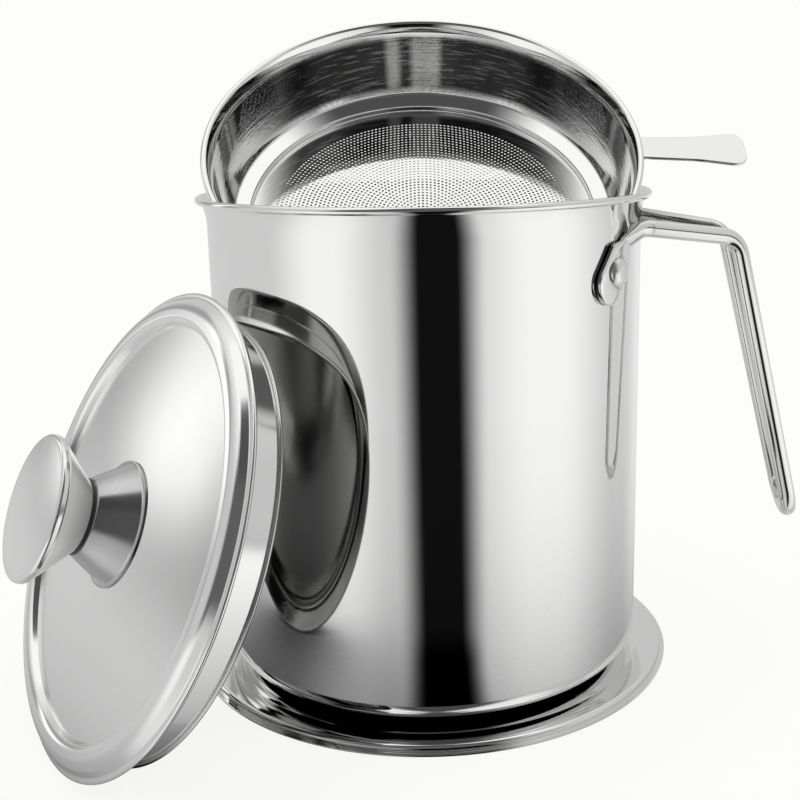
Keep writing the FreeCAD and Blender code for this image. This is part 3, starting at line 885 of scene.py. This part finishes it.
# The knob's pieces stay out of mirror images, which would smudge the lid's satin face
def makeKnob():
    base = spunShell("knobBase", [
        (knob["screw"], knob["neckLevel"]),
        (knob["neck"], knob["neckLevel"], knob["neckBend"]),
        (knob["foot"] - knob["brim"], lid["crown"] + knob["sheet"], knob["footBend"]),
        (knob["foot"], lid["crown"] + knob["sheet"]),
    ], knob["sheet"])
    ring = spunSolid("knobRing", [
        (0, knob["ringTop"]),
        (knob["ring"], knob["ringTop"], knob["ringBend"]),
        (knob["ring"], knob["neckLevel"], knob["ringBend"]),
        (0, knob["neckLevel"]),
    ])
    body = spunShell("knobBody", [
        (knob["top"] - knob["border"], knob["topLevel"]),
        (knob["top"], knob["topLevel"], knob["edgeBend"]),
        (knob["top"], knob["topLevel"] - knob["edge"], knob["edgeBend"]),
        (knob["neck"], knob["ringTop"], knob["neckBend"]),
        (knob["screw"], knob["ringTop"]),
    ], knob["sheet"])
    crown = knob["topLevel"] + knob["capCrown"]
    cap = spunShell("knobCap", [
        (0, crown),
        (knob["cap"] / 2, crown, domeBend(knob["cap"] / 2, knob["capCrown"])),
        (knob["cap"], knob["topLevel"]),
    ], knob["capSheet"])
    screwBottom = knob["underWasher"] - knob["screwHeadHeight"]
    screw = spunSolid("knobScrew", [
        (0, knob["tip"]),
        (knob["screw"], knob["tip"], knob["screwBend"]),
        (knob["screw"], knob["underWasher"], knob["screwRootBend"]),
        (knob["screwHead"], knob["underWasher"], knob["screwRootBend"]),
        (knob["screwHead"], screwBottom, knob["screwHeadBend"]),
        (0, screwBottom),
    ])
    washerTop = knob["underWasher"] + knob["washerSheet"]
    washer = spunShell("knobWasher", [
        (knob["hole"], washerTop), (knob["washer"], washerTop),
    ], knob["washerSheet"], steps=64)
    insertBottom = knob["ringTop"] + knob["sheet"]
    insert = spunShell("knobInsert", [
        (knob["insert"], insertBottom), (knob["insert"], insertBottom + knob["insertHeight"]),
    ], knob["insert"] - knob["hole"], steps=64)
    for piece, finish, slot, node in (
        (washer, steel["screwSteel"], "hardware_steel", "knob_washer"),
        (insert, steel["screwSteel"], "hardware_steel", "knob_insert"),
        (base, steel["knobSteel"], "knob_steel", "knob_base"),
        (ring, plastic, "knob_black", "knob_ring"),
        (body, steel["knobSteel"], "knob_steel", "knob_body"),
        (cap, steel["knobSteel"], "knob_steel", "knob_cap"),
        (screw, steel["screwSteel"], "hardware_steel", "knob_screw"),
    ):
        placePiece(piece, lidMatrix())
        finishPiece(piece, finish, "lid", node)
        piece.visible_glossy = False


makeKnob()
print("lid and knob made")


# Camera, floor and the studio that polished steel mirrors

view = {
    "place": (0, -358, 171.1), "yaw": 1.34, "down": 12.52, "roll": -0.90, "focal": 1137,
    "shiftX": -0.0675, "shiftY": -0.0375, "pixels": 800, "sensor": 36, "nearest": 10,
}


def makeCamera():
    yaw, down, roll = [math.radians(view[key]) for key in ("yaw", "down", "roll")]
    ahead = Vector((
        math.sin(yaw) * math.cos(down), math.cos(yaw) * math.cos(down), -math.sin(down)
    ))
    level = Vector((math.cos(yaw), -math.sin(yaw), 0))
    top = level.cross(ahead)
    right = level * math.cos(roll) + top * math.sin(roll)
    up = top * math.cos(roll) - level * math.sin(roll)
    bpy.ops.object.camera_add()
    camera = bpy.context.object
    camera.matrix_world = placeOf((right, up, -ahead), view["place"])
    camera.data.sensor_width = view["sensor"]
    camera.data.lens = view["focal"] * view["sensor"] / view["pixels"]
    camera.data.shift_x = view["shiftX"]
    camera.data.shift_y = view["shiftY"]
    camera.data.clip_start = view["nearest"] * mm
    bpy.context.scene.camera = camera


# Each panel: bearing, half width, soft edge, low, high, soft edge (degrees) and brightness
studio = {
    "white": (0.98, 0.98, 0.96), "ambient": 0.75, "floorLevel": 0.69,
    "panels": {
        "wall": (0, 181, 1, -1, 91, 3, 0.63),
        "upperWall": (0, 181, 1, 42, 91, 14, 0.92),
        "ceiling": (0, 181, 1, 60, 91, 5, 1.1),
        "rightFloor": (-26, 30, 24, -91, -1, 3, 1.06),
        "leftFloor": (-143, 20, 16, -91, -1, 3, 1.04),
        "backFloor": (62, 12, 14, -91, -1, 3, 0.88),
        "rightWall": (8, 24, 12, 36, 56, 4, 0.65),
        "leftWall": (146, 20, 8, -2, 36, 4, 0.38),
        "leftCorner": (162, 6, 6, -1, 4, 3, 0.38),
        "leftWindow": (149, 4.5, 4.5, 0, 34, 3, 0.95),
        "leftSky": (148.5, 4.5, 4, 2, 34, 3, 1.3),
        "darkRoof": (-82, 48, 18, 40, 91, 6, 0.08),
        "darkRoom": (-95, 42, 10, 0, 50, 6, 0.12),
        "darkDoor": (-50, 20, 8, 1, 14, 4, 0.12),
        "cameraGap": (-84.2, 17.2, 8, -91, 3, 5, 0.006),
    },
}


# Where a panel covers the sky: the bearing and height are those of the ray
def panelCover(tree, bearing, height, panel):
    low, high, edge = [math.radians(value) for value in panel[3:6]]
    bottom = softEdge(tree, height, low - edge, low + edge)
    top = softEdge(tree, height, high + edge, high - edge)
    side = sideCover(tree, bearing, *panel[:3])
    return combine(tree, "MULTIPLY", side, combine(tree, "MULTIPLY", bottom, top))


# Plain white to the camera. Metal mirrors that white with the studio's panels in it.
def makeWorld():
    world = bpy.data.worlds.new("paleStudio")
    bpy.context.scene.world = world
    world.use_nodes = True
    tree = world.node_tree
    tree.nodes.clear()
    place = addNode(tree, "ShaderNodeTexCoord").outputs
    bearing, rise = bearingOf(tree, place["Generated"])
    height = combine(tree, "ARCSINE", rise)
    level = studio["floorLevel"]
    for panel in studio["panels"].values():
        inputs = {0: panelCover(tree, bearing, height, panel), 2: level, 3: panel[6]}
        level = addNode(tree, "ShaderNodeMix", inputs, data_type="FLOAT").outputs[0]
    mirrored, backdrop, ambient = [
        addNode(tree, "ShaderNodeBackground", inputs).outputs["Background"] for inputs in (
            {"Color": level}, {"Color": (*studio["white"], 1)}, {"Strength": studio["ambient"]}
        )
    ]
    rays = addNode(tree, "ShaderNodeLightPath").outputs
    seen = combine(tree, "MAXIMUM", rays["Is Camera Ray"], rays["Is Transmission Ray"])
    seen = combine(tree, "MAXIMUM", seen, rays["Is Glossy Ray"])
    scenery = mixShaders(tree, rays["Is Glossy Ray"], backdrop, mirrored)
    surface = mixShaders(tree, seen, ambient, scenery)
    addNode(tree, "ShaderNodeOutputWorld", {"Surface": surface})


floorLook = {
    "size": 12, "colour": (0.9, 0.9, 0.89), "roughness": 0.9, "gloss": 0.1,
    "fade": (0.1, 0.5), "leastFade": 0.9,
    "shadeReach": 0.35, "shadeDepth": 1.3, "shadeSamples": 12,
    "darkStrip": (-85, 10, 5), "stripEnd": (0.14, 0.11),
}


# Metal mirrors the studio's own floor, with the object's shade and the camera's dark strip on it
def mirroredFloor(tree, place, distance):
    shade = addNode(
        tree, "ShaderNodeAmbientOcclusion", {"Distance": floorLook["shadeReach"]},
        samples=floorLook["shadeSamples"],
    )
    light = combine(tree, "POWER", shade.outputs["AO"], floorLook["shadeDepth"])
    bearing, _ = bearingOf(tree, place)
    strip = sideCover(tree, bearing, *floorLook["darkStrip"])
    near = softEdge(tree, distance, *floorLook["stripEnd"])
    light = weaken(tree, light, combine(tree, "MULTIPLY", strip, near))
    return addNode(tree, "ShaderNodeBsdfTransparent", {"Color": light}).outputs["BSDF"]


# Pale floor that keeps the object's soft shadow, and fades into the backdrop
def makeFloor():
    deselectAll()
    bpy.ops.mesh.primitive_plane_add(size=floorLook["size"])
    floor = bpy.context.object
    floor.name = "studioFloor"
    material, tree, shader = newMaterial("paleFloor")
    shader.inputs["Base Color"].default_value = (*floorLook["colour"], 1)
    shader.inputs["Roughness"].default_value = floorLook["roughness"]
    shader.inputs["Specular IOR Level"].default_value = floorLook["gloss"]
    glow = addNode(tree, "ShaderNodeEmission", {"Color": (*studio["white"], 1)})
    place = addNode(tree, "ShaderNodeTexCoord").outputs["Object"]
    distance = combineVectors(tree, "LENGTH", place)
    fade = softEdge(tree, distance, *floorLook["fade"], floorLook["leastFade"])
    rays = addNode(tree, "ShaderNodeLightPath").outputs
    seen = combine(tree, "MAXIMUM", rays["Is Camera Ray"], rays["Is Transmission Ray"])
    share = combine(tree, "MULTIPLY", seen, fade)
    lit = mixShaders(tree, share, shader.outputs["BSDF"], glow.outputs["Emission"])
    mirrored = mirroredFloor(tree, place, distance)
    surface = mixShaders(tree, rays["Is Glossy Ray"], lit, mirrored)
    feed(tree, tree.nodes["Material Output"].inputs["Surface"], surface)
    floor.data.materials.append(material)


lamps = {
    "topSoftbox": {
        "place": (0, 0.1, 1.3), "target": (0, 0, 0.05), "size": (1.4, 1.4), "power": 9,
    },
    "leftSoftbox": {
        "place": (-1.2, -0.5, 0.8), "target": (0, 0, 0.08), "size": (0.6, 1.2), "power": 5,
    },
    "rightSoftbox": {
        "place": (1.2, -0.3, 0.7), "target": (0, 0, 0.08), "size": (0.6, 1.2), "power": 5,
    },
}


def makeLamp(name, lamp):
    light = bpy.data.lights.new(name, "AREA")
    light.shape = "RECTANGLE"
    light.size, light.size_y = lamp["size"]
    light.energy = lamp["power"]
    holder = bpy.data.objects.new(name, light)
    bpy.context.scene.collection.objects.link(holder)
    holder.visible_glossy = False
    holder.location = lamp["place"]
    aim = Vector(lamp["target"]) - Vector(lamp["place"])
    holder.rotation_euler = aim.to_track_quat("-Z", "Y").to_euler()


makeCamera()
makeFloor()
makeWorld()
for name, lamp in lamps.items():
    makeLamp(name, lamp)
print("studio made")

bpy.context.scene.view_settings.view_transform = "Standard"
